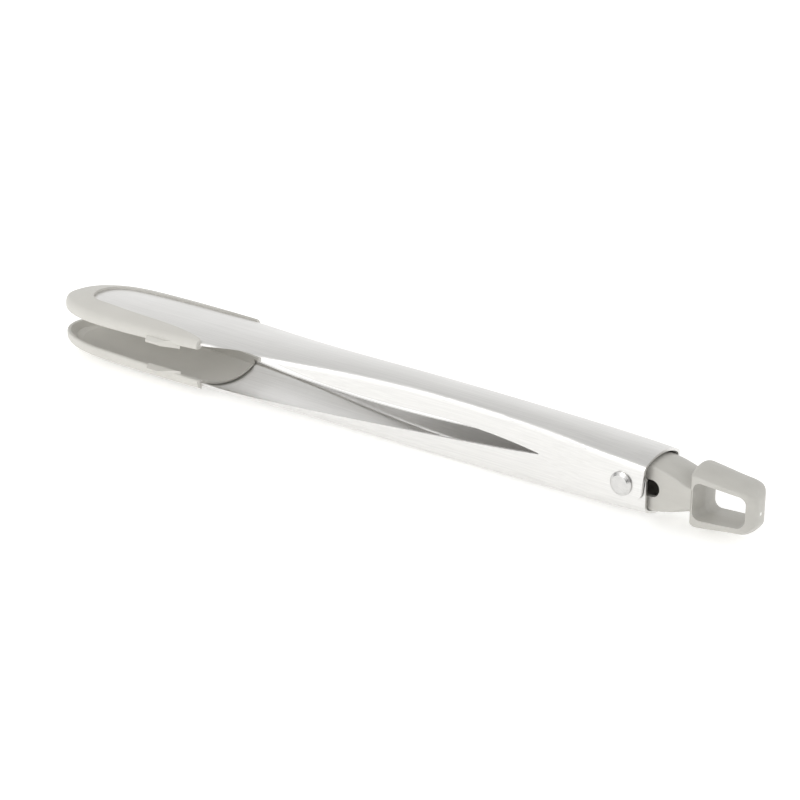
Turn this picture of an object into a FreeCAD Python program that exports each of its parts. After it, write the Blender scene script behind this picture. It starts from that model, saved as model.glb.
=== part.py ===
"""Spring loaded kitchen tongs with silicone heads and a pull lock, closed and locked.

Lengths are millimetres. Each piece is built about the pivot: +X towards the hanging loop,
+Y along the pivot rivet, +Z from the lower arm to the upper arm, and z = 0 halfway between
the arms. write() then moves it to the part's own frame, which stands on z = 0.
"""
import FreeCAD, Part
import math
import os

from FreeCAD import Vector

# Where the pivot lies in the part's own frame
PIVOT_X = 94.2
PIVOT_Z = 11.0

LOFT_DEGREE = 2             # keeps the lofts from waving between uneven stations

# Arms: pressed stainless sheet
SHEET = 0.8
NEST_GAP = 0.3              # between the lower arm's walls and the upper arm's flaps
TRIM = 40.0                 # how far a cutting prism runs past what it cuts
BEND_LEAST = 0.8            # no bend is tighter,
BEND_SHARE = 0.7            # or takes more of the half width
WALL_FLOOR = -8.0           # where the lofted walls end before they are trimmed
OUTLINE_TOP = 14.0

# Stations along an arm: x, outer half width, crown height, crown radius, bend radius
ARM_STATIONS = (
    (16.0, 8.9, 8.45, 16.0, 2.5),
    (7.8, 8.9, 9.05, 16.0, 2.5),
    (0.0, 8.9, 9.55, 16.0, 2.5),
    (-12.0, 8.5, 10.0, 16.0, 2.5),
    (-30.0, 7.4, 10.5, 15.0, 2.4),
    (-52.0, 6.8, 10.85, 15.0, 2.2),
    (-80.0, 7.2, 11.0, 15.0, 2.2),
    (-105.0, 8.6, 10.7, 17.0, 2.2),
    (-130.0, 11.2, 10.2, 24.0, 2.0),
    (-156.0, 13.6, 10.0, 34.0, 1.8),
    (-182.0, 14.7, 10.0, 36.0, 1.8),
    (-198.0, 14.7, 9.85, 36.0, 1.8),
)
# Round the front of the head the plan is a superellipse, from the last station to the tip:
# the angle along it in degrees, and the crown height there
HEAD_TIP = -225.2           # front of the steel
HEAD_POWER = 2.1
HEAD_FRONT = (
    (15.0, 9.65), (30.0, 9.15), (45.0, 8.35), (58.0, 7.55), (70.0, 6.8), (80.0, 6.25),
    (87.0, 5.9),
)
NEST_FULL_X = -30.0         # the lower arm is nested up to here,
NEST_NONE_X = -105.0        # and as wide as the upper arm from here on

# Lower edge of the upper arm's walls, from the flap to the head
FLAP_END = ((8.0, 12.0), (6.6, -1.0))
FLAP_CORNER = 2.4
FLAP_BOTTOM = -4.0
FLAP_FOOT_X = -17.4
UPPER_WALL_EDGE = (
    (-29.5, 0.9), (-40.0, 1.95), (-60.0, 2.8), (-80.0, 2.45), (-100.0, 2.8),
    (-115.0, 4.2), (-127.0, 6.4), (-137.0, 7.5), (-150.0, 6.8), (-162.0, 5.7),
)
# The same edge on the lower arm, measured from the lower arm's side
NESTED_EAR = ((7.3, 12.0), (7.3, -2.2), (5.7, -3.8), (-13.0, -3.8))
LOWER_WALL_EDGE = (
    (-30.0, 0.0), (-50.0, 2.3), (-75.0, 4.2), (-100.0, 5.6), (-125.0, 6.4),
    (-145.0, 6.5), (-162.0, 5.7),
)
# Lower edge of the silicone rim; the steel inside it ends RIM_WRAP higher
RIM_EDGE = (
    (-130.0, 5.4), (-157.5, 5.1), (-166.0, 4.6), (-180.0, 4.25), (-198.0, 3.95),
    (-212.0, 3.9), (-232.0, 3.9),
)
RIM_WRAP = 1.3

# Silicone head cover
RIM_OUT = 1.2               # outside the steel's edge
SKIN_OUT = 0.85             # proud of the steel round the window
PAD = 0.9                   # inside the steel
COVER_BEND = 2.8
RIM_ROLL = 0.7              # rounding of the rim's outer edge
RIM_FLARE = 1.7             # 45 degree flare inside the rim,
FLARE_REACH = 0.3           # and how far its cutter runs past the rim
DISH_PLANE = ((-226.0, 3.85), (-157.5, 4.75))
DISH_REAR = -120.0          # the hollow's cutters run back to here
COVER_END_X = -157.0
COVER_END_BULGE = 1.8
PAD_END_CORNER = 4.0
PAD_LIFT = 0.35             # gap under the pad's rear edge
PAD_LIFT_REACH = 0.8
# Lugs on the rim: outline in plan (x, y), and sections (y, z) of the upper and lower head's
LUG_PLAN = ((-178.0, 13.0), (-176.6, 17.3), (-172.4, 17.3), (-160.8, 13.4), (-160.8, 13.0))
LUG_START = -185.0
LUG_END = -158.0
UPPER_LUG = ((14.4, 3.65), (16.6, 3.65), (17.0, 4.0), (17.0, 4.6), (16.1, 5.6), (14.4, 6.3))
LOWER_LUG = ((14.4, 3.95), (15.1, 3.95), (17.0, 4.9), (17.0, 5.2), (16.1, 5.9), (14.4, 6.5))
WINDOW_EDGE = (
    (-150.0, 15.0), (-158.5, 12.4), (-168.0, 11.0), (-190.0, 9.9), (-203.0, 8.8),
    (-209.6, 7.4), (-212.9, 4.4),
)
WINDOW_FRONT = (-213.9, 0.0)
PAD_END_CROWN = 60.0

# Pivot rivet, its cap and the spacer sleeve
SHANK_R = 1.5
RUNNING_GAP = 0.05
HEAD_R = 3.45
HEAD_FACE_R = 2.75
HEAD_HEIGHT = 1.05
HEAD_GAP = 0.1
SLEEVE_R = 2.1
SLEEVE_END_GAP = 0.1

# Lock tab
TAB_HALF = 6.0
TAB_DROP = 0.3              # the tab hangs on the sleeve by its slot
LOCK_TRAVEL = 8.0
SQUEEZE_ROOM = 0.9          # spare slot behind the sleeve when the arms are squeezed
SLOT_R = 2.5
FORK_START = -20.0          # open at the rear
FORK_END = 4.5
POCKET_END = 12.2
CHEEK = 1.5
POCKET_HALF_HEIGHT = 5.4
# Tab stations: x, crown height, crown radius
TAB_STATIONS = (
    (-6.5, 7.65, 14.5), (1.0, 7.65, 14.5), (8.8, 7.65, 14.5), (13.6, 6.75, 13.0),
    (17.5, 5.55, 11.5), (20.6, 4.8, 10.5),
)
TAB_EDGE = 0.7

# Hanging loop at the end of the tab
LOOP_START = 19.9
LOOP_END = 38.9
# Loop stations: x, half width, crown height
LOOP_STATIONS = ((19.9, 6.0, 9.7), (24.0, 5.95, 9.15), (31.0, 5.75, 8.15), (38.9, 5.3, 7.3))
LOOP_CROWN = 8.4
LOOP_EDGE = 0.8
LOOP_SHOULDER = 1.3         # rounding of the loop's near end,
LOOP_END_PLAN = 4.6         # of its far end seen from above,
LOOP_END_SIDE = 4.6         # and seen from the side
LOOP_SHOULDER_STEPS = (0.02, 0.25, 0.7, 1.3, 2.6)
LOOP_MIDDLE = (24.5, 27.5, 30.5, 32.8)
LOOP_END_STEPS = (4.6, 3.4, 2.3, 1.4, 0.7, 0.25, 0.03)
LOOP_HOLE = ((21.5, 5.2), (36.0, 4.2))   # x and half height at each end, halfway through
LOOP_HOLE_CORNER = 2.3
LOOP_HOLE_RUN = 1.0         # the hole's cutter runs this far past each side
LOOP_HOLE_DRAFT = ((-0.5, 0.4), (1.2, 0.3))   # how much each end grows towards the sides

# Torsion spring
WIRE_R = 0.45
COIL_R = 2.75               # to the middle of the wire
COIL_TURNS = 4             # whole turns, before the part turn between the legs
COIL_PITCH = 0.97
LEG_REACH = 22.0
LEG_GAP = 0.05
LEG_SIDE_DROP = 0.75        # the crown is this much lower where the leg meets it


def arch_shape(half, top, crown, bend):
    """Height of the bend's centre, and where the crown meets the bend."""
    reach = math.sqrt((crown - bend) ** 2 - (half - bend) ** 2)
    scale = crown / (crown - bend)
    centre = top - crown + reach
    join = ((half - bend) * scale, top - crown + reach * scale)
    angle = math.atan2(reach, half - bend)
    middle = (half - bend + bend * math.cos(angle / 2), centre + bend * math.sin(angle / 2))
    return centre, join, middle


def arch_edges(half, top, crown, bend, floor, place):
    """A crowned top, two bends and two walls down to the floor, open at the floor."""
    centre, join, middle = arch_shape(half, top, crown, bend)
    right = [(half, floor), (half, centre), middle, join]
    r = [place(u, v) for u, v in right]
    m = [place(-u, v) for u, v in right]
    return [
        Part.LineSegment(r[0], r[1]).toShape(),
        Part.Arc(r[1], r[2], r[3]).toShape(),
        Part.Arc(r[3], place(0.0, top), m[3]).toShape(),
        Part.Arc(m[3], m[2], m[1]).toShape(),
        Part.LineSegment(m[1], m[0]).toShape(),
    ]


def arch_wire(half, top, crown, bend, floor, place):
    """The arch closed by a straight line along its floor."""
    edges = arch_edges(half, top, crown, bend, floor, place)
    edges.append(Part.LineSegment(place(-half, floor), place(half, floor)).toShape())
    return Part.Wire(edges)


def barrel_wire(half, top, crown, bend, place):
    """A crowned top and the same crown below, joined by short walls."""
    centre, join, middle = arch_shape(half, top, crown, bend)
    edges = arch_edges(half, top, crown, bend, 0.0, place)
    edges += arch_edges(half, top, crown, bend, 0.0, lambda u, v: place(-u, -v))
    return Part.Wire(edges)


def across(x):
    """Places a section's (u, v) in the plane at x, as y and z."""
    return lambda u, v: Vector(x, u, v)


def prism_y(wire):
    """A solid from an outline in the XZ plane, running well past both sides."""
    wire.translate(Vector(0, -TRIM, 0))
    return Part.Face(wire).extrude(Vector(0, 2 * TRIM, 0))


def prism_z(wire, low=-TRIM, high=TRIM):
    """A solid from an outline in the XY plane, from low to high."""
    wire.translate(Vector(0, 0, low))
    return Part.Face(wire).extrude(Vector(0, 0, high - low))


def spline(points, place):
    curve = Part.BSplineCurve()
    curve.interpolate([place(u, v) for u, v in points])
    return curve.toShape()


def polyline(points, place):
    return [
        Part.LineSegment(place(*a), place(*b)).toShape() for a, b in zip(points, points[1:])
    ]


def side(x, z):
    return Vector(x, 0, z)


def plan(x, y):
    return Vector(x, y, 0)


def along(u, v):
    """Places a section lying down, its crown towards the pivot."""
    return Vector(v, u, 0)


def head_front():
    """Stations round the front of the head, each with its outward direction in plan."""
    x0, half0, _, crown, bend = ARM_STATIONS[-1]
    length = x0 - HEAD_TIP
    stations = []
    for angle, top in HEAD_FRONT:
        along = math.sin(math.radians(angle))
        wide = (1 - along ** HEAD_POWER) ** (1 / HEAD_POWER)
        out_x = along ** (HEAD_POWER - 1) / length
        out_y = wide ** (HEAD_POWER - 1) / half0
        size = math.hypot(out_x, out_y)
        stations.append((x0 - length * along, half0 * wide, top, crown, bend,
                         -out_x / size, out_y / size))
    return stations


def stations(grow, top_grow, nest=0.0):
    """Every station of an arm, its outline grown or shrunk in plan and in height."""
    rows = []
    for x, half, top, crown, bend in ARM_STATIONS:
        share = min(max((x - NEST_NONE_X) / (NEST_FULL_X - NEST_NONE_X), 0.0), 1.0)
        rows.append((x, half + grow - nest * share, top + top_grow, crown + top_grow,
                     bend + grow))
    for x, half, top, crown, bend, out_x, out_y in head_front():
        rows.append((x + grow * out_x, half + grow * out_y, top + top_grow,
                     crown + top_grow, bend + grow))
    return rows


def arm_loft(grow, nest=0.0):
    """A solid under the arm's crown, grown or shrunk from the steel's outer face."""
    wires = []
    for x, half, top, crown, bend in stations(grow, grow, nest):
        bend = min(max(bend, BEND_LEAST), half * BEND_SHARE)
        wires.append(arch_wire(half, top, crown, bend, WALL_FLOOR, across(x)))
    return Part.makeLoft(wires, True, False, False, LOFT_DEGREE)


def rim_height(x):
    """Height of the rim's lower edge at x."""
    for (x0, z0), (x1, z1) in zip(RIM_EDGE, RIM_EDGE[1:]):
        if x1 <= x <= x0:
            return z0 + (z1 - z0) * (x0 - x) / (x0 - x1)


def skin_wire(x, half, top, crown, bend, rim):
    """A section of the head cover's outside, rolled in at the rim."""
    height = top - rim
    bend = min(bend, half * BEND_SHARE, height / 2)
    centre, _, _ = arch_shape(half, top, crown, bend)
    roll = min(RIM_ROLL, half / 3, 0.8 * (centre - rim))
    place = across(x)
    edges = arch_edges(half, top, crown, bend, rim + roll, place)
    low = rim + roll * (1 - math.sqrt(0.5))
    near = half - roll * (1 - math.sqrt(0.5))
    edges += [
        Part.Arc(place(-half, rim + roll), place(-near, low), place(roll - half, rim)).toShape(),
        Part.LineSegment(place(roll - half, rim), place(half - roll, rim)).toShape(),
        Part.Arc(place(half - roll, rim), place(near, low), place(half, rim + roll)).toShape(),
    ]
    return Part.Wire(edges)


def skin_loft():
    """The head cover's outside, as a solid down to its rim."""
    wires = [skin_wire(x, half, top, crown, COVER_BEND, rim_height(x))
             for x, half, top, crown, _ in stations(RIM_OUT, SKIN_OUT) if x <= RIM_EDGE[0][0]]
    return Part.makeLoft(wires, True, False, False, LOFT_DEGREE)


def head_outline(grow, rear):
    """Points round the head in plan, from the rear of one side to the rear of the other."""
    row = [(x, half) for x, half, _, _, _ in stations(grow, 0.0) if x <= rear]
    return row + [(HEAD_TIP - grow, 0.0)] + [(x, -half) for x, half in reversed(row)]


def dish_outline(grow, lift):
    """The head's outline in the sloping plane of the rim, raised by lift."""
    (x0, z0), (x1, z1) = DISH_PLANE
    slope = (z1 - z0) / (x1 - x0)

    def place(x, y):
        return Vector(x, y, z0 + slope * (x - x0) + lift)

    points = head_outline(grow, DISH_REAR)
    return Part.Wire([spline(points, place)] + polyline([points[-1], points[0]], place))


def dish_mouth():
    """Cutter for the flare inside the rim."""
    inner = -SHEET - PAD - FLARE_REACH
    low = dish_outline(inner + RIM_FLARE + 2 * FLARE_REACH, -FLARE_REACH)
    high = dish_outline(inner, RIM_FLARE + FLARE_REACH)
    return Part.makeLoft([low, high], True, True)


def steel_arm(end, start, edge, nest):
    """One arm, its crown upwards. end is the outline of its pivot end, which begins at start."""
    shell = arm_loft(0.0, nest).cut(arm_loft(-SHEET, nest))
    path = list(edge) + [(x, z + RIM_WRAP) for x, z in RIM_EDGE[3:]]
    last = path[-1]
    outline = end + [spline(path, side)]
    outline += polyline([last, (last[0], OUTLINE_TOP), (start[0], OUTLINE_TOP), start], side)
    return shell.common(prism_y(Part.Wire(Part.__sortEdges__(outline))))


def upper_end():
    """End edge, rounded corner, bottom and sloping foot of the upper arm's flap."""
    (x0, z0), (x1, z1) = FLAP_END
    lean = (x0 - x1) / (z0 - z1)
    corner_x = x1 + (FLAP_BOTTOM - z1) * lean
    start = (corner_x + FLAP_CORNER * lean, FLAP_BOTTOM + FLAP_CORNER)
    finish = (corner_x - FLAP_CORNER, FLAP_BOTTOM)
    bulge = FLAP_CORNER * (1 - math.sqrt(0.5))
    middle = (corner_x - bulge, FLAP_BOTTOM + bulge)
    foot = (FLAP_FOOT_X, FLAP_BOTTOM)
    edges = polyline([FLAP_END[0], start], side)
    edges.append(Part.Arc(side(*start), side(*middle), side(*finish)).toShape())
    edges += polyline([finish, foot, UPPER_WALL_EDGE[0]], side)
    return edges


def upper_arm():
    arm = steel_arm(upper_end(), FLAP_END[0], UPPER_WALL_EDGE, 0.0)
    hole = Part.makeCylinder(SHANK_R + RUNNING_GAP, 2 * TRIM, Vector(0, -TRIM, 0),
                             Vector(0, 1, 0))
    return arm.cut(hole)


def flip(shape):
    """The lower half of a pair: turned over about the rivet's axis plane."""
    return shape.mirror(Vector(0, 0, 0), Vector(0, 0, 1))


def lower_arm():
    end = polyline(list(NESTED_EAR) + [LOWER_WALL_EDGE[0]], side)
    arm = steel_arm(end, NESTED_EAR[0], LOWER_WALL_EDGE, SHEET + NEST_GAP)
    hole = Part.makeCylinder(SHANK_R, 2 * TRIM, Vector(0, -TRIM, 0), Vector(0, 1, 0))
    return flip(arm.cut(hole))


def cover_lugs(section):
    """The two lugs on the rim that hook the head on a pan's edge."""
    lugs = []
    for sign in (1, -1):
        corners = [Vector(LUG_START, sign * y, z) for y, z in section]
        bar = Part.Face(Part.makePolygon(corners + corners[:1]))
        bar = bar.extrude(Vector(LUG_END - LUG_START, 0, 0))
        points = [(x, sign * y) for x, y in LUG_PLAN]
        lugs.append(bar.common(prism_z(Part.Wire(polyline(points + points[:1], plan)))))
    return lugs


def rear_outline():
    """Everything in front of the cover's bowed rear end, in plan."""
    bow = Part.Arc(plan(COVER_END_X, -TRIM / 2), plan(COVER_END_X + COVER_END_BULGE, 0),
                   plan(COVER_END_X, TRIM / 2)).toShape()
    front = -2 * TRIM + COVER_END_X
    corners = [(COVER_END_X, TRIM / 2), (front, TRIM / 2), (front, -TRIM / 2),
               (COVER_END_X, -TRIM / 2)]
    return Part.Wire([bow] + polyline(corners, plan))


def window_outline():
    """The opening in the skin that leaves the steel bare."""
    mirrored = [(x, -y) for x, y in reversed(WINDOW_EDGE)]
    around = list(WINDOW_EDGE) + [WINDOW_FRONT] + mirrored
    return Part.Wire([spline(around, plan)] + polyline([around[-1], around[0]], plan))


def pad_waste():
    """What is cut from the pad's rear end: its corners, and a gap under its rear edge."""
    half = ARM_STATIONS[-1][1]
    top = COVER_END_X + COVER_END_BULGE
    inside = arm_loft(-SHEET)
    waste = []
    for shape, end in ((inside, top), (inside.cut(arm_loft(-SHEET - PAD_LIFT)),
                                       top - PAD_LIFT_REACH)):
        keep = arch_wire(half, end, PAD_END_CROWN, PAD_END_CORNER, end - 2 * TRIM, along)
        rear = Part.makeBox(TRIM, TRIM, TRIM, Vector(end - TRIM / 2, -TRIM / 2, -TRIM / 2))
        waste.append(shape.common(rear).cut(prism_z(keep)))
    return waste


def head_cover(steel_head, lug_section):
    """Silicone moulded round the edge of the steel, with a pad inside and a window outside."""
    body = skin_loft().common(prism_z(rear_outline()))
    body = body.cut(arm_loft(-SHEET - PAD)).cut(dish_mouth())
    for lug in cover_lugs(lug_section):
        body = body.fuse(lug)
    body = body.cut(prism_z(window_outline(), 0.0, TRIM).cut(arm_loft(0.0)))
    for waste in pad_waste():
        body = body.cut(waste)
    return body.cut(steel_head)


def revolve_y(points, base):
    """A turned piece on the pivot axis: points are (radius, height along -Y from base)."""
    corners = [Vector(r, base - h, 0) for r, h in points]
    wire = Part.makePolygon(corners + corners[:1])
    return Part.Face(wire).revolve(Vector(0, 0, 0), Vector(0, 1, 0), 360)


def rivet_head(flip_side):
    """The low stepped head that shows outside the upper arm's flap."""
    base = -(ARM_STATIONS[2][1] + HEAD_GAP)
    arc = [(HEAD_FACE_R - 0.35 + 0.35 * math.sin(a), HEAD_HEIGHT - 0.35 + 0.35 * math.cos(a))
           for a in (0.0, math.pi / 8, math.pi / 4)]
    points = [(0.0, 0.0), (HEAD_R, 0.0), (HEAD_R, 0.4)] + arc[::-1] + [(0.0, HEAD_HEIGHT)]
    head = revolve_y(points, base)
    if flip_side:
        head = head.mirror(Vector(0, 0, 0), Vector(0, 1, 0))
    return head


def pivot_rivet():
    reach = ARM_STATIONS[2][1] + HEAD_GAP
    shank = Part.makeCylinder(SHANK_R, 2 * reach + 0.6, Vector(0, -reach, 0), Vector(0, 1, 0))
    return rivet_head(False).fuse(shank)


def rivet_cap():
    reach = ARM_STATIONS[2][1] + HEAD_GAP
    seat = Part.makeCylinder(SHANK_R, 0.6, Vector(0, reach, 0), Vector(0, 1, 0))
    return rivet_head(True).cut(seat)


def pivot_sleeve():
    inside = ARM_STATIONS[2][1] - 2 * SHEET - NEST_GAP
    half = inside - SLEEVE_END_GAP
    axis = Vector(0, 1, 0)
    tube = Part.makeCylinder(SLEEVE_R, 2 * half, Vector(0, -half, 0), axis)
    return tube.cut(Part.makeCylinder(SHANK_R + RUNNING_GAP, 2 * half, Vector(0, -half, 0), axis))


def torsion_spring():
    """A close coil round the sleeve and two legs, one under each arm's crown."""
    foot_z = crown_height(-LEG_REACH) - SHEET - WIRE_R - LEG_GAP - LEG_SIDE_DROP
    away = math.hypot(LEG_REACH, foot_z)
    leave = math.pi - math.atan2(foot_z, LEG_REACH) - math.acos(COIL_R / away)
    turns = COIL_TURNS + leave / math.pi
    length = turns * COIL_PITCH
    helix = Part.makeHelix(COIL_PITCH, length, COIL_R)
    helix.rotate(Vector(0, 0, 0), Vector(1, 0, 0), 90)
    helix.translate(Vector(0, length / 2, 0))
    helix.rotate(Vector(0, 0, 0), Vector(0, 1, 0), math.degrees(leave))
    coil = helix.Edges[0]
    leg = math.sqrt(away ** 2 - COIL_R ** 2)
    drift = leg * COIL_PITCH / (2 * math.pi * COIL_R)
    start, end = coil.valueAt(coil.FirstParameter), coil.valueAt(coil.LastParameter)
    feet = (Vector(-LEG_REACH, start.y + drift, -foot_z), Vector(-LEG_REACH, end.y - drift, foot_z))
    path = Part.Wire([Part.LineSegment(feet[0], start).toShape(), coil,
                      Part.LineSegment(end, feet[1]).toShape()])
    profile = Part.Wire(Part.makeCircle(WIRE_R, feet[0], start.sub(feet[0])))
    return path.makePipeShell([profile], True, True)


def crown_height(x):
    """Height of the arm's outer crown at x, read between its stations."""
    for (x0, _, top0, _, _), (x1, _, top1, _, _) in zip(ARM_STATIONS, ARM_STATIONS[1:]):
        if x1 <= x <= x0:
            return top0 + (top1 - top0) * (x0 - x) / (x0 - x1)


def rounded_slot(start, end, radius):
    """A long hole through both sides of the tab, with round ends."""
    middle = Part.makeBox(end - start, 2 * TRIM, 2 * radius, Vector(start, -TRIM, -radius))
    ends = [Part.makeCylinder(radius, 2 * TRIM, Vector(x, -TRIM, 0), Vector(0, 1, 0))
            for x in (start, end)]
    return middle.multiFuse(ends)


def hole_outline(y, draft):
    """The loop's hole at y, grown by a share of its draft, its four corners rounded."""
    ends = [(x + draft * dx, h + draft * dh)
            for (x, h), (dx, dh) in zip(LOOP_HOLE, LOOP_HOLE_DRAFT)]
    (x0, h0), (x1, h1) = ends
    corners = [Vector(x0, y, -h0), Vector(x1, y, -h1), Vector(x1, y, h1), Vector(x0, y, h0)]
    arcs = []
    for i, corner in enumerate(corners):
        back = corners[i - 1].sub(corner).normalize()
        on = corners[(i + 1) % 4].sub(corner).normalize()
        half_angle = back.getAngle(on) / 2
        reach = LOOP_HOLE_CORNER / math.tan(half_angle)
        inward = back.add(on).normalize()
        depth = LOOP_HOLE_CORNER / math.sin(half_angle) - LOOP_HOLE_CORNER
        arcs.append((corner.add(back * reach), corner.add(inward * depth),
                     corner.add(on * reach)))
    edges = []
    for i, (start, middle, end) in enumerate(arcs):
        edges.append(Part.Arc(start, middle, end).toShape())
        edges.append(Part.LineSegment(end, arcs[(i + 1) % 4][0]).toShape())
    return Part.Wire(edges)


def between(rows, x):
    """Reads a table of stations along x at a place between two of them."""
    for low, high in zip(rows, rows[1:]):
        if low[0] <= x <= high[0]:
            share = (x - low[0]) / (high[0] - low[0])
            return [a + (b - a) * share for a, b in zip(low, high)]


def rounding(distance, radius):
    """How far a rounded corner lies inside the square one, at a distance from its end."""
    short = max(radius - distance, 0.0)
    return radius - math.sqrt(radius ** 2 - short ** 2)


def hanging_loop():
    """The loop's block, rounded at both ends, with its hole."""
    places = [LOOP_START + step for step in LOOP_SHOULDER_STEPS]
    places += list(LOOP_MIDDLE) + [LOOP_END - step for step in LOOP_END_STEPS]
    wires = []
    for x in places:
        _, half, top = between(LOOP_STATIONS, x)
        shoulder = rounding(x - LOOP_START, LOOP_SHOULDER)
        half -= shoulder + rounding(LOOP_END - x, LOOP_END_PLAN)
        top -= shoulder + rounding(LOOP_END - x, LOOP_END_SIDE)
        edge = min(LOOP_EDGE, half / 2)
        wires.append(barrel_wire(half, top, LOOP_CROWN, edge, across(x)))
    block = Part.makeLoft(wires, True, False, False, LOFT_DEGREE)
    middle = hole_outline(0.0, 0.0)
    for sign in (1, -1):
        side_outline = hole_outline(sign * (TAB_HALF + LOOP_HOLE_RUN), 1.0)
        block = block.cut(Part.makeLoft([middle, side_outline], True, True))
    return block


def lock_tab():
    tab = Part.makeLoft([barrel_wire(TAB_HALF, top, crown, TAB_EDGE, across(x))
                         for x, top, crown in TAB_STATIONS], True, False, False, LOFT_DEGREE)
    body = tab.fuse(hanging_loop())
    body = body.cut(rounded_slot(-SQUEEZE_ROOM, LOCK_TRAVEL, SLOT_R))
    half = TAB_HALF - CHEEK
    fork = Part.makeBox(FORK_END - FORK_START, 2 * half, TRIM,
                        Vector(FORK_START, -half, -TRIM / 2))
    pocket = Part.makeBox(POCKET_END, 2 * half, 2 * POCKET_HALF_HEIGHT,
                          Vector(0.0, -half, -POCKET_HALF_HEIGHT))
    body = body.cut(fork).cut(pocket)
    body.translate(Vector(0, 0, -TAB_DROP))
    return body


def write(name, shape):
    """Exports one node after moving it into the part's own frame."""
    shape = shape.copy()
    shape.translate(Vector(PIVOT_X, 0, PIVOT_Z))
    box = shape.optimalBoundingBox()
    print(name, shape.isValid(), len(shape.Solids), round(shape.Volume, 1),
          [round(v, 1) for v in (box.XMin, box.XMax, box.YMin, box.YMax, box.ZMin, box.ZMax)])
    shape.exportStep("parts/%s.step" % name)


if __name__ == "__main__":
    os.makedirs("parts", exist_ok=True)
    write("upper_arm", upper_arm())
    write("lower_arm", lower_arm())
    write("upper_head_cover", head_cover(upper_arm(), UPPER_LUG))
    write("lower_head_cover", flip(head_cover(upper_arm(), LOWER_LUG)))
    write("pivot_rivet", pivot_rivet())
    write("rivet_cap", rivet_cap())
    write("pivot_sleeve", pivot_sleeve())
    write("torsion_spring", torsion_spring())
    write("lock_tab", lock_tab())
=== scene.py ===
# %% [markdown]
# # A pair of locking kitchen tongs
#
# The tongs are two channels of brushed stainless steel, hinged on one rivet. Their two
# heads are wrapped in silicone, and a moulded tab at the rear slides out to lock them
# shut and carries the hanging loop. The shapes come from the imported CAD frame. This
# script adds what CAD leaves out: how each surface was made and what it looks like, a
# spring that bends between the arms, and the light it all stands in.
#
# The frame's objects all sit at the origin, in metres, so every position below is
# worked out from the boxes that the frame reports.

# %% Load the frame
import math

import bmesh
import bpy
from mathutils import Matrix, Vector
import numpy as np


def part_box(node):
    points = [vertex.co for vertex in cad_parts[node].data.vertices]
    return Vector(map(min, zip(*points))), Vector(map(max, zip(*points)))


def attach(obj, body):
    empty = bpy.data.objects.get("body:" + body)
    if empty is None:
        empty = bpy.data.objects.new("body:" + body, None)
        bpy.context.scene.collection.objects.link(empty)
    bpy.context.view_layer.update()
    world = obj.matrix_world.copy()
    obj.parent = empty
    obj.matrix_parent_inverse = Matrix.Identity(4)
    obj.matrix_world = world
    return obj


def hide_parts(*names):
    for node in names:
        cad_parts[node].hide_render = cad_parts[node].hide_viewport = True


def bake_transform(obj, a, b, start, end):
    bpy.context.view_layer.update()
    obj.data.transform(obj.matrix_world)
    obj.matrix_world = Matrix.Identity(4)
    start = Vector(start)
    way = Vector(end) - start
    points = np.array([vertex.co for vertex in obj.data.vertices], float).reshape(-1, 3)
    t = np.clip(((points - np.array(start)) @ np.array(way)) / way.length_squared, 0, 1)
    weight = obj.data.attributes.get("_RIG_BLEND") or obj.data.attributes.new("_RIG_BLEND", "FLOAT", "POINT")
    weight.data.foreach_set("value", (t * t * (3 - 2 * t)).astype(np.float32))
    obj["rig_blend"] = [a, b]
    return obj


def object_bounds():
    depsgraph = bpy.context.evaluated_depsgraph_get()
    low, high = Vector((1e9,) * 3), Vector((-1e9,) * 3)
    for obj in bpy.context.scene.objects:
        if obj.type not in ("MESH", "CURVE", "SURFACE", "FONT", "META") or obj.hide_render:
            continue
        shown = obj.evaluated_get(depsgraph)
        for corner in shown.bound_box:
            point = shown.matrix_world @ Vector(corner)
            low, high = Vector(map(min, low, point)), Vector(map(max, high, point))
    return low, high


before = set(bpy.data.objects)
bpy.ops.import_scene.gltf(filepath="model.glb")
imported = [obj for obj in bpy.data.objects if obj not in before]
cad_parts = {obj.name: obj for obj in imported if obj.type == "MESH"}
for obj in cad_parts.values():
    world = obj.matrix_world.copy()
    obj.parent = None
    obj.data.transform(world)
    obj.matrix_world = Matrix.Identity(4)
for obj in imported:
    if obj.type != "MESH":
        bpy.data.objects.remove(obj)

cad_low, cad_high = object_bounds()
MM = 0.001
print("nodes:", ", ".join(sorted(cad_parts)))
print("size in mm:", [round((h - l) / MM, 1) for l, h in zip(cad_low, cad_high)])

# %% [markdown]
# ## Where the camera stands
#
# A long lens a good half metre away keeps the two long edges nearly parallel, as in a
# catalogue picture. The camera's turn is given by three angles: round the object, above
# the horizon, and a slight roll. Building its axes from those angles is clearer than
# three Euler numbers, because each column of the matrix is a direction with a meaning.

# %% Camera
CAMERA_PLACE = Vector((0.4082, -0.48943, 0.24644))
CAMERA_ROUND = math.radians(39.2486)
CAMERA_ABOVE = math.radians(20.3377)
CAMERA_ROLL = math.radians(0.439)
SENSOR_WIDTH = 36.0         # mm, as is the focal length
LENS = 101.25

flat_right = Vector((math.cos(CAMERA_ROUND), math.sin(CAMERA_ROUND), 0))
backward = Vector((math.sin(CAMERA_ROUND) * math.cos(CAMERA_ABOVE),
                   -math.cos(CAMERA_ROUND) * math.cos(CAMERA_ABOVE),
                   math.sin(CAMERA_ABOVE)))
flat_up = backward.cross(flat_right)
right = flat_right * math.cos(CAMERA_ROLL) + flat_up * math.sin(CAMERA_ROLL)
up = flat_up * math.cos(CAMERA_ROLL) - flat_right * math.sin(CAMERA_ROLL)

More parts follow.
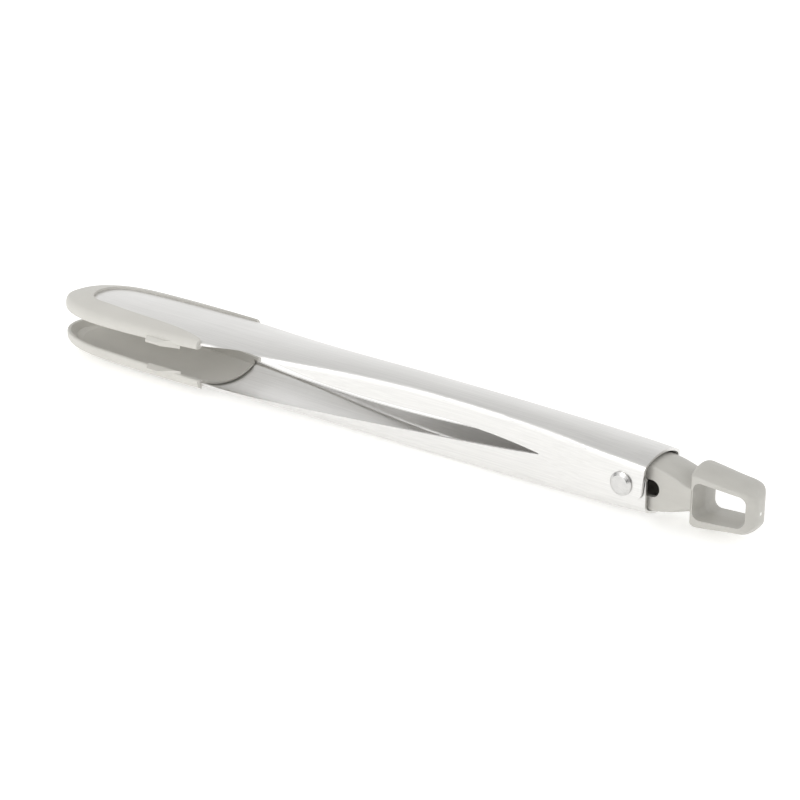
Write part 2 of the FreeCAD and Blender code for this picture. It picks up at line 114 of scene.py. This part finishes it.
camera_data = bpy.data.cameras.new("catalogue_camera")
camera_data.sensor_width = SENSOR_WIDTH
camera_data.lens = LENS
camera_data.clip_start = 0.01
camera = bpy.data.objects.new("catalogue_camera", camera_data)
bpy.context.scene.collection.objects.link(camera)
columns = Matrix((right, up, backward)).transposed().to_4x4()
camera.matrix_world = Matrix.Translation(CAMERA_PLACE) @ columns
bpy.context.scene.camera = camera
print("camera to tongs:", round((CAMERA_PLACE - (cad_low + cad_high) / 2).length, 3), "m")

# %% [markdown]
# ## Small helpers for materials
#
# Colours are written as sRGB hex values, because that is how a colour chart gives them.
# Blender works in linear light, so one function turns them. Another adds a node and sets
# its options and sockets, or links what is given as a link, which keeps each material
# short enough to read as a recipe.

# %% Helpers
def linear(hex_colour):
    """An sRGB hex colour such as "C8C7C2" as linear red, green, blue, alpha."""
    parts = [int(hex_colour[i:i + 2], 16) / 255 for i in (0, 2, 4)]
    return [p / 12.92 if p <= 0.04045 else ((p + 0.055) / 1.055) ** 2.4 for p in parts] + [1.0]


def fill(tree, node, sockets):
    """Sets each named input of a node to a value, or links it if it is given an output."""
    for name, value in sockets.items():
        if isinstance(value, bpy.types.NodeSocket):
            tree.links.new(value, node.inputs[name])
        else:
            node.inputs[name].default_value = value


def add(tree, kind, sockets={}, **options):
    """Adds a node: options set its properties, and sockets its inputs."""
    node = tree.nodes.new(kind)
    for name, value in options.items():
        setattr(node, name, value)
    fill(tree, node, sockets)
    return node


def start_material(name):
    """A new material with only a Principled shader, and its Object coordinates."""
    material = bpy.data.materials.new(name)
    material.use_nodes = True
    tree = material.node_tree
    tree.nodes.clear()
    shader = add(tree, "ShaderNodeBsdfPrincipled")
    add(tree, "ShaderNodeOutputMaterial", {"Surface": shader.outputs["BSDF"]})
    place = add(tree, "ShaderNodeTexCoord").outputs["Object"]
    return material, tree, shader, place


print("mid grey is", [round(v, 3) for v in linear("808080")[:3]], "in linear light")

# %% [markdown]
# ## Brushed stainless steel
#
# The arms are pressed from 0.8 mm stainless sheet that was brushed along its length with
# an abrasive belt before it was pressed. The belt leaves fine scratches, so a highlight
# spreads across the grain and the colour shifts a little from streak to streak. The
# grain is noise stretched a hundred times along the arm. Real 240 grit scratches are
# about 0.05 mm apart, too fine to show, so they are drawn 0.35 mm apart. A second,
# broad noise changes the roughness where hands and cloths have rubbed the sheet.

# %% Arm steel
NOISE_LOW = 0.3              # most of a noise's values lie between these two
NOISE_HIGH = 0.7
GRAIN_LENGTH = 35 * MM
GRAIN_WIDTH = 0.35 * MM
RUBBED_PATCH = 22 * MM

brushed, tree, shader, place = start_material("brushed_stainless_steel")
stretch = add(tree, "ShaderNodeMapping", {
    "Vector": place, "Scale": (1 / GRAIN_LENGTH, 1 / GRAIN_WIDTH, 1 / GRAIN_WIDTH)})
grain = add(tree, "ShaderNodeTexNoise", {
    "Vector": stretch.outputs["Vector"], "Scale": 1.0, "Detail": 3.0, "Roughness": 0.6})
patches = add(tree, "ShaderNodeTexNoise", {
    "Vector": place, "Scale": 1 / RUBBED_PATCH, "Detail": 2.0, "Roughness": 0.5})
colour = add(tree, "ShaderNodeMix", {
    "Factor": grain.outputs["Fac"], "A": linear("D6D5D3"), "B": linear("F0EFED")},
    data_type="RGBA")
gloss = add(tree, "ShaderNodeMapRange", {
    "Value": patches.outputs["Fac"], "From Min": NOISE_LOW, "From Max": NOISE_HIGH,
    "To Min": 0.30, "To Max": 0.38})
bump = add(tree, "ShaderNodeBump", {
    "Height": grain.outputs["Fac"], "Strength": 0.06, "Distance": 0.1 * MM})
fill(tree, shader, {
    "Base Color": colour.outputs["Result"], "Roughness": gloss.outputs["Result"],
    "Normal": bump.outputs["Normal"], "Metallic": 1.0})
print("brushed steel: grain", GRAIN_WIDTH / MM, "mm apart")

# %% [markdown]
# ## Moulded silicone
#
# The heads are over-moulded in food-grade silicone rubber. Its surface copies a fine
# blasted mould, so it is matt with a faint bloom at glancing angles, and it takes up a
# little flour-like dust that lightens it in soft patches. The blasted texture is noise
# 0.3 mm across; silicone bends light less than most plastics, hence the low IOR.

# %% Silicone
BLAST_GRAIN = 0.3 * MM
BLOOM_PATCH = 14 * MM
SILICONE_IOR = 1.41

silicone, tree, shader, place = start_material("moulded_silicone_rubber")
blast = add(tree, "ShaderNodeTexNoise", {
    "Vector": place, "Scale": 1 / BLAST_GRAIN, "Detail": 2.0})
bloom = add(tree, "ShaderNodeTexNoise", {
    "Vector": place, "Scale": 1 / BLOOM_PATCH, "Detail": 3.0})
colour = add(tree, "ShaderNodeMix", {
    "Factor": bloom.outputs["Fac"], "A": linear("C4C2BC"), "B": linear("D1CFC9")},
    data_type="RGBA")
gloss = add(tree, "ShaderNodeMapRange", {
    "Value": blast.outputs["Fac"], "From Min": NOISE_LOW, "From Max": NOISE_HIGH,
    "To Min": 0.52, "To Max": 0.62})
bump = add(tree, "ShaderNodeBump", {
    "Height": blast.outputs["Fac"], "Strength": 0.12, "Distance": 0.05 * MM})
fill(tree, shader, {
    "Base Color": colour.outputs["Result"], "Roughness": gloss.outputs["Result"],
    "Normal": bump.outputs["Normal"], "IOR": SILICONE_IOR, "Sheen Weight": 0.08,
    "Sheen Roughness": 0.4})
print("silicone: blasted texture", BLAST_GRAIN / MM, "mm across")

# %% [markdown]
# ## Glass-filled nylon
#
# The lock tab and its loop are one injection moulding in a stiff nylon, coloured to
# match the silicone. Glass fibre near the skin gives a slight flow pattern along the
# part, so the colour noise is longer than it is wide, and the spark-eroded mould leaves
# an even texture that is a little glossier than the rubber.

# %% Tab plastic
FLOW_LENGTH = 9 * MM
FLOW_WIDTH = 2.5 * MM
SPARK_GRAIN = 0.25 * MM
NYLON_IOR = 1.53

nylon, tree, shader, place = start_material("glass_filled_nylon")
stretch = add(tree, "ShaderNodeMapping", {
    "Vector": place, "Scale": (1 / FLOW_LENGTH, 1 / FLOW_WIDTH, 1 / FLOW_WIDTH)})
flow = add(tree, "ShaderNodeTexNoise", {
    "Vector": stretch.outputs["Vector"], "Scale": 1.0, "Detail": 2.0})
spark = add(tree, "ShaderNodeTexNoise", {
    "Vector": place, "Scale": 1 / SPARK_GRAIN, "Detail": 2.0})
colour = add(tree, "ShaderNodeMix", {
    "Factor": flow.outputs["Fac"], "A": linear("B3B1AB"), "B": linear("C1BFB9")},
    data_type="RGBA")
gloss = add(tree, "ShaderNodeMapRange", {
    "Value": spark.outputs["Fac"], "From Min": NOISE_LOW, "From Max": NOISE_HIGH,
    "To Min": 0.38, "To Max": 0.5})
bump = add(tree, "ShaderNodeBump", {
    "Height": spark.outputs["Fac"], "Strength": 0.1, "Distance": 0.05 * MM})
fill(tree, shader, {
    "Base Color": colour.outputs["Result"], "Roughness": gloss.outputs["Result"],
    "Normal": bump.outputs["Normal"], "IOR": NYLON_IOR})
print("nylon: flow marks", FLOW_LENGTH / MM, "by", FLOW_WIDTH / MM, "mm")

# %% [markdown]
# ## Turned and polished rivet steel
#
# The rivet, its cap and the sleeve were turned on a lathe, which leaves rings round the
# hinge's own axis. A Mapping node moves the pattern's middle to that axis. The distance
# from it drives a fine wave, which becomes a bump: rings a third of a millimetre apart,
# coarser than the real ones so that they show at all.

# %% Rivet steel
RING_PITCH = 0.35 * MM
TARNISH_PATCH = 2.0 * MM
rivet_low, rivet_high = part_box("pivot_rivet")
axis_point = (rivet_low + rivet_high) / 2

turned, tree, shader, place = start_material("turned_stainless_steel")
centred = add(tree, "ShaderNodeMapping", {
    "Vector": place, "Location": (-axis_point.x, 0, -axis_point.z), "Scale": (1, 0, 1)})
radius = add(tree, "ShaderNodeVectorMath", {0: centred.outputs["Vector"]}, operation="LENGTH")
phase = add(tree, "ShaderNodeMath", {
    0: radius.outputs["Value"], 1: 2 * math.pi / RING_PITCH}, operation="MULTIPLY")
rings = add(tree, "ShaderNodeMath", {0: phase.outputs["Value"]}, operation="SINE")
tarnish = add(tree, "ShaderNodeTexNoise", {"Vector": place, "Scale": 1 / TARNISH_PATCH})
colour = add(tree, "ShaderNodeMix", {
    "Factor": tarnish.outputs["Fac"], "A": linear("C4C3C2"), "B": linear("DDDCDA")},
    data_type="RGBA")
gloss = add(tree, "ShaderNodeMapRange", {
    "Value": rings.outputs["Value"], "From Min": -1.0, "From Max": 1.0,
    "To Min": 0.2, "To Max": 0.3})
bump = add(tree, "ShaderNodeBump", {
    "Height": rings.outputs["Value"], "Strength": 0.12, "Distance": 0.02 * MM})
fill(tree, shader, {
    "Base Color": colour.outputs["Result"], "Roughness": gloss.outputs["Result"],
    "Normal": bump.outputs["Normal"], "Metallic": 1.0})
print("rivet axis in mm:", round(axis_point.x / MM, 2), round(axis_point.z / MM, 2))

# %% [markdown]
# ## Drawn spring wire
#
# The spring is hard-drawn stainless wire. Drawing through a die leaves it smooth and a
# shade darker than the sheet, with lubricant stains that a fine noise stands for.

# %% Wire steel
STAIN = 1.2 * MM

drawn, tree, shader, place = start_material("drawn_spring_wire")
stains = add(tree, "ShaderNodeTexNoise", {
    "Vector": place, "Scale": 1 / STAIN, "Detail": 4.0, "Roughness": 0.6})
colour = add(tree, "ShaderNodeMix", {
    "Factor": stains.outputs["Fac"], "A": linear("8F8D8A"), "B": linear("BDBBB8")},
    data_type="RGBA")
gloss = add(tree, "ShaderNodeMapRange", {
    "Value": stains.outputs["Fac"], "From Min": NOISE_LOW, "From Max": NOISE_HIGH,
    "To Min": 0.25, "To Max": 0.4})
fill(tree, shader, {
    "Base Color": colour.outputs["Result"], "Roughness": gloss.outputs["Result"],
    "Metallic": 1.0})
print("spring wire: stains", STAIN / MM, "mm across")

# %% [markdown]
# ## Dressing the CAD pieces
#
# The pressed, moulded and turned pieces have the right shape already, so each keeps its
# CAD mesh and only its material changes.

# %% Materials on the CAD pieces
FINISHES = {
    "upper_arm": brushed,
    "lower_arm": brushed,
    "upper_head_cover": silicone,
    "lower_head_cover": silicone,
    "pivot_rivet": turned,
    "rivet_cap": turned,
    "pivot_sleeve": turned,
    "lock_tab": nylon,
}
for name, finish in FINISHES.items():
    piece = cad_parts[name]
    piece.data.materials.clear()
    piece.data.materials.append(finish)
    print(name, "is", finish.name)

# %% [markdown]
# ## The torsion spring
#
# A close coil sits round the sleeve, and its two legs press the arms apart. In CAD it is
# one stiff solid, which can't follow both arms. Here the wire is drawn again as a path,
# and a small Geometry Nodes tree sweeps a circle along it, so the wire's thickness is a
# named input that can be changed without touching the path. The finished mesh bends
# with both arms, as the real wire does.

# %% Spring path
WIRE_RADIUS = 0.45 * MM
COIL_RADIUS = 2.62 * MM      # clears the sleeve, and the tab when the arms are open
COIL_PITCH = 0.97 * MM
WHOLE_TURNS = 4
POINTS_PER_TURN = 40
LEG_POINTS = 12
WIRE_SIDES = 16

spring_low, spring_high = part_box("torsion_spring")
leg_reach = axis_point.x - spring_low.x
foot_height = (spring_high.z - spring_low.z) / 2 - WIRE_RADIUS
foot_away = math.hypot(leg_reach, foot_height)
leave = math.pi - math.atan2(foot_height, leg_reach) - math.acos(COIL_RADIUS / foot_away)
turns = WHOLE_TURNS + leave / math.pi
length = turns * COIL_PITCH
leg_length = math.sqrt(foot_away ** 2 - COIL_RADIUS ** 2)
drift = leg_length * COIL_PITCH / (2 * math.pi * COIL_RADIUS)


def coil_point(share):
    """A point on the coil's middle line, from 0 at the lower leg to 1 at the upper leg."""
    turned_by = -leave + 2 * math.pi * turns * share
    return Vector((axis_point.x + COIL_RADIUS * math.cos(turned_by),
                   length * (0.5 - share),
                   axis_point.z + COIL_RADIUS * math.sin(turned_by)))


steps = round(turns * POINTS_PER_TURN)
coil = [coil_point(i / steps) for i in range(steps + 1)]
print("coil from", [round(v / MM, 2) for v in coil[0]], "to", [round(v / MM, 2) for v in coil[-1]])

# %% [markdown]
# The legs leave the coil along its tangent. The path runs from one foot, round the coil,
# to the other foot, as one unbroken line, because separate tubes would show a joint.

# %% Spring legs and the path object
lower_foot = Vector((axis_point.x - leg_reach, coil[0].y + drift, axis_point.z - foot_height))
upper_foot = Vector((axis_point.x - leg_reach, coil[-1].y - drift, axis_point.z + foot_height))
lower_leg = [lower_foot.lerp(coil[0], i / LEG_POINTS) for i in range(LEG_POINTS)]
upper_leg = [coil[-1].lerp(upper_foot, (i + 1) / LEG_POINTS) for i in range(LEG_POINTS)]
route = lower_leg + coil + upper_leg

path_data = bpy.data.curves.new("spring_path", "CURVE")
path_data.dimensions = "3D"
line = path_data.splines.new("POLY")
line.points.add(len(route) - 1)
for point, spot in zip(line.points, route):
    point.co = (*spot, 1.0)
spring_path = bpy.data.objects.new("spring_path", path_data)
bpy.context.scene.collection.objects.link(spring_path)
print("spring path:", len(route), "points")

# %% [markdown]
# The tree has three named inputs: the wire's radius, how many sides it has, and its
# finish. The modifier's inputs are set by the sockets' identifiers, before the object is
# first evaluated.

# %% Geometry Nodes: sweep the wire
wire_tree = bpy.data.node_groups.new("sweep_wire", "GeometryNodeTree")
face = wire_tree.interface
face.new_socket("Path", in_out="INPUT", socket_type="NodeSocketGeometry")
radius_input = face.new_socket("Wire radius", in_out="INPUT", socket_type="NodeSocketFloat")
sides_input = face.new_socket("Wire sides", in_out="INPUT", socket_type="NodeSocketInt")
finish_input = face.new_socket("Finish", in_out="INPUT", socket_type="NodeSocketMaterial")
face.new_socket("Wire", in_out="OUTPUT", socket_type="NodeSocketGeometry")

given = add(wire_tree, "NodeGroupInput").outputs
section = add(wire_tree, "GeometryNodeCurvePrimitiveCircle", {
    "Resolution": given["Wire sides"], "Radius": given["Wire radius"]})
swept = add(wire_tree, "GeometryNodeCurveToMesh", {
    "Curve": given["Path"], "Profile Curve": section.outputs["Curve"], "Fill Caps": True})
smooth = add(wire_tree, "GeometryNodeSetShadeSmooth", {"Geometry": swept.outputs["Mesh"]})
solid = add(wire_tree, "GeometryNodeRealizeInstances", {"Geometry": smooth.outputs["Geometry"]})
dressed = add(wire_tree, "GeometryNodeSetMaterial", {
    "Geometry": solid.outputs["Geometry"], "Material": given["Finish"]})
add(wire_tree, "NodeGroupOutput", {"Wire": dressed.outputs["Geometry"]})

sweep = spring_path.modifiers.new("sweep_wire", "NODES")
sweep.node_group = wire_tree
sweep[radius_input.identifier] = WIRE_RADIUS
sweep[sides_input.identifier] = WIRE_SIDES
sweep[finish_input.identifier] = drawn

evaluated = spring_path.evaluated_get(bpy.context.evaluated_depsgraph_get())
wire_mesh = bpy.data.meshes.new_from_object(evaluated)
spring = bpy.data.objects.new("spring_wire", wire_mesh)
bpy.context.scene.collection.objects.link(spring)
bpy.data.objects.remove(spring_path)
print("spring mesh:", len(wire_mesh.polygons), "faces")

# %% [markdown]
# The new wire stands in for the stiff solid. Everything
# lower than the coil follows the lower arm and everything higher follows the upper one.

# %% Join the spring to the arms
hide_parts("torsion_spring")
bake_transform(spring, "lower_arm", "upper_arm",
         start=(axis_point.x, 0, axis_point.z - COIL_RADIUS),
         end=(axis_point.x, 0, axis_point.z + COIL_RADIUS))

# %% [markdown]
# ## The injection point
#
# Plastic enters the mould through a small gate, and where it is cut off a glossy dot is
# left, here on the end of the loop. It is a low dome, half sunk in the loop's end so that
# no gap shows round it. A ray cast from behind finds the end's surface, so the dome stays
# on it if the loop changes. The cut nylon is glossier than its moulded skin and a little
# paler, but most of the near-white colour with fine knife marks is a painted highlight: the glint that the
# gate catches.

# %% Cut nylon, its near white mostly a painted highlight
KNIFE_MARK = 0.2 * MM

glint_painted_nylon, tree, shader, place = start_material("nylon_with_painted_glint")
knife = add(tree, "ShaderNodeTexNoise", {
    "Vector": place, "Scale": 1 / KNIFE_MARK, "Detail": 2.0})
# Near white: a little the cut nylon's paler tone, mostly a painted highlight for the gate's glint
colour = add(tree, "ShaderNodeMix", {
    "Factor": knife.outputs["Fac"], "A": linear("EDECE8"), "B": linear("FAFAF7")},
    data_type="RGBA")
fill(tree, shader, {
    "Base Color": colour.outputs["Result"], "Roughness": 0.25, "IOR": NYLON_IOR})
print("cut nylon: knife marks", KNIFE_MARK / MM, "mm")

# %% [markdown]
# The dome's rings of points shrink as a quarter circle does, and the last ring closes on
# one point at its top. Its round base is closed too, so the piece is a solid.

# %% Gate mark on the loop
GATE_RADIUS = 0.55 * MM
GATE_HEIGHT = 0.25 * MM
GATE_SIDES = 24
GATE_RINGS = 6
GATE_SINK = 0.12 * MM
GATE_HEIGHT_SHARE = 0.45     # of the tab's height, up from its bottom
RAY_START = 20 * MM          # behind the loop

tab_low, tab_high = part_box("lock_tab")
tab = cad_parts["lock_tab"]
gate_z = tab_low.z + GATE_HEIGHT_SHARE * (tab_high.z - tab_low.z)
behind_tab = Vector((tab_high.x + RAY_START, 0, gate_z))
_, spot, out, _ = tab.ray_cast(behind_tab, Vector((-1, 0, 0)))
across = out.cross(Vector((0, 1, 0))).normalized()
along = out.cross(across)
points = []
for ring in range(GATE_RINGS):
    lift = math.pi / 2 * ring / GATE_RINGS
    for i in range(GATE_SIDES):
        turn = 2 * math.pi * i / GATE_SIDES
        flat = across * math.cos(turn) + along * math.sin(turn)
        points.append(spot - out * GATE_SINK + flat * GATE_RADIUS * math.cos(lift)
                      + out * GATE_HEIGHT * math.sin(lift))
points.append(spot + out * (GATE_HEIGHT - GATE_SINK))
faces = [list(range(GATE_SIDES))[::-1]]
for ring in range(GATE_RINGS - 1):
    for i in range(GATE_SIDES):
        a, b = ring * GATE_SIDES + i, ring * GATE_SIDES + (i + 1) % GATE_SIDES
        faces.append((a, b, b + GATE_SIDES, a + GATE_SIDES))
last = (GATE_RINGS - 1) * GATE_SIDES
faces += [(last + i, last + (i + 1) % GATE_SIDES, len(points) - 1) for i in range(GATE_SIDES)]

gate_mesh = bpy.data.meshes.new("gate_mark")
gate_mesh.from_pydata(points, [], faces)
shell = bmesh.new()
shell.from_mesh(gate_mesh)
bmesh.ops.recalc_face_normals(shell, faces=shell.faces)
shell.to_mesh(gate_mesh)
shell.free()
gate_mesh.polygons.foreach_set("use_smooth", [True] * len(gate_mesh.polygons))
gate = bpy.data.objects.new("gate_mark", gate_mesh)
bpy.context.scene.collection.objects.link(gate)
# The dome takes the near-white material with the painted highlight
gate_mesh.materials.append(glint_painted_nylon)
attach(gate, "lock_tab")
print("gate mark at x", round(spot.x / MM, 1), "z", round(spot.z / MM, 1), "mm")

# %% [markdown]
# ## Floor and light
#
# The tongs stand on a plain pale sweep, drawn here as one large disc that glows a little,
# as white acrylic lit from below does, so shadows on it stay faint. The light is that of
# a white tent: an even pale sky, one large soft lamp low in front, and a weaker one from
# the far side.

# %% Floor
FLOOR_RADIUS = 3.0
FLOOR_SIDES = 96
FLOOR_GLOW = 0.3

rim = [(FLOOR_RADIUS * math.cos(2 * math.pi * i / FLOOR_SIDES),
        FLOOR_RADIUS * math.sin(2 * math.pi * i / FLOOR_SIDES), cad_low.z)
       for i in range(FLOOR_SIDES)]
floor_mesh = bpy.data.meshes.new("floor")
floor_mesh.from_pydata(rim, [], [range(FLOOR_SIDES)])
floor = bpy.data.objects.new("floor", floor_mesh)
bpy.context.scene.collection.objects.link(floor)

opal, tree, shader, _ = start_material("opal_acrylic_sweep")
fill(tree, shader, {
    "Base Color": linear("FCFCFB"), "Roughness": 0.9,
    "Emission Color": linear("FFFFFF"), "Emission Strength": FLOOR_GLOW})
floor_mesh.materials.append(opal)
print("floor at", round(cad_low.z / MM, 2), "mm")

# %% [markdown]
# The sky is worked out from the direction of a ray. A dark strip low down in front
# stands for the tent's opening: the near bend of each arm is the only place that
# reflects it, and it draws the thin dark line that makes bent sheet read as metal. The
# top of the tent is greyer than its sides, so faces that look up are darker than faces
# that look forward. Rays from the camera see plain white instead, so the background
# stays clean from every side.

# %% Sky
OPENING_HEIGHT = 0.22       # as a share of the way up, at the strip's middle
OPENING_HALF = 0.16
OPENING_DARK = "5A5A5A"
TOP_GREY = "D6D6D5"
TOP_FROM = 0.35             # the sky greys from this height,
TOP_TO = 0.95               # to this one

sky = bpy.data.worlds.new("light_tent")
sky.use_nodes = True
tree = sky.node_tree
tree.nodes.clear()
toward = add(tree, "ShaderNodeTexCoord").outputs["Generated"]
axes = add(tree, "ShaderNodeSeparateXYZ", {"Vector": toward})
above = add(tree, "ShaderNodeMath", {
    0: axes.outputs["Z"], 1: OPENING_HEIGHT}, operation="SUBTRACT")
off = add(tree, "ShaderNodeMath", {0: above.outputs["Value"]}, operation="ABSOLUTE")
strip = add(tree, "ShaderNodeMapRange", {
    "Value": off.outputs["Value"], "From Min": OPENING_HALF, "From Max": OPENING_HALF / 2,
    "To Min": 0.0, "To Max": 1.0}, interpolation_type="SMOOTHSTEP")
in_front = add(tree, "ShaderNodeMapRange", {
    "Value": axes.outputs["Y"], "From Min": 0.0, "From Max": -0.5,
    "To Min": 0.0, "To Max": 1.0}, interpolation_type="SMOOTHSTEP")
opening = add(tree, "ShaderNodeMath", {
    0: strip.outputs["Result"], 1: in_front.outputs["Result"]}, operation="MULTIPLY")
overhead = add(tree, "ShaderNodeMapRange", {
    "Value": axes.outputs["Z"], "From Min": TOP_FROM, "From Max": TOP_TO,
    "To Min": 0.0, "To Max": 1.0}, interpolation_type="SMOOTHSTEP")
tent = add(tree, "ShaderNodeMix", {
    "Factor": overhead.outputs["Result"], "A": linear("FFFFFF"), "B": linear(TOP_GREY)},
    data_type="RGBA")
with_opening = add(tree, "ShaderNodeMix", {
    "Factor": opening.outputs["Value"], "A": tent.outputs["Result"],
    "B": linear(OPENING_DARK)}, data_type="RGBA")
seen = add(tree, "ShaderNodeLightPath").outputs["Is Camera Ray"]
shown = add(tree, "ShaderNodeMix", {
    "Factor": seen, "A": with_opening.outputs["Result"], "B": linear("FFFFFF")},
    data_type="RGBA")
background = add(tree, "ShaderNodeBackground", {"Color": shown.outputs["Result"]})
add(tree, "ShaderNodeOutputWorld", {"Surface": background.outputs["Background"]})
bpy.context.scene.world = sky
bpy.context.scene.view_settings.view_transform = "Standard"
print("tent opening at", OPENING_HEIGHT, "of the way up")

# %% [markdown]
# Two soft lamps finish the light. The large one low in front lights the faces that look
# forward, and the weaker one behind on the right keeps the far edges from going flat.
# Each is aimed by turning its own -Z axis at the origin, where the tongs lie.

# %% Lamps
LAMPS = (
    # name, place, size in metres, watts
    ("key_softbox", Vector((-0.35, -1.3, 0.55)), 0.8, 7.0),
    ("fill_softbox", Vector((0.9, 0.5, 0.9)), 1.2, 2.0),
)
for name, spot, size, watts in LAMPS:
    lamp_data = bpy.data.lights.new(name, "AREA")
    lamp_data.size = size
    lamp_data.energy = watts
    lamp = bpy.data.objects.new(name, lamp_data)
    lamp.location = spot
    lamp.rotation_mode = "QUATERNION"
    lamp.rotation_quaternion = (-spot).to_track_quat("-Z", "Y")
    bpy.context.scene.collection.objects.link(lamp)
    print(name, watts, "W")
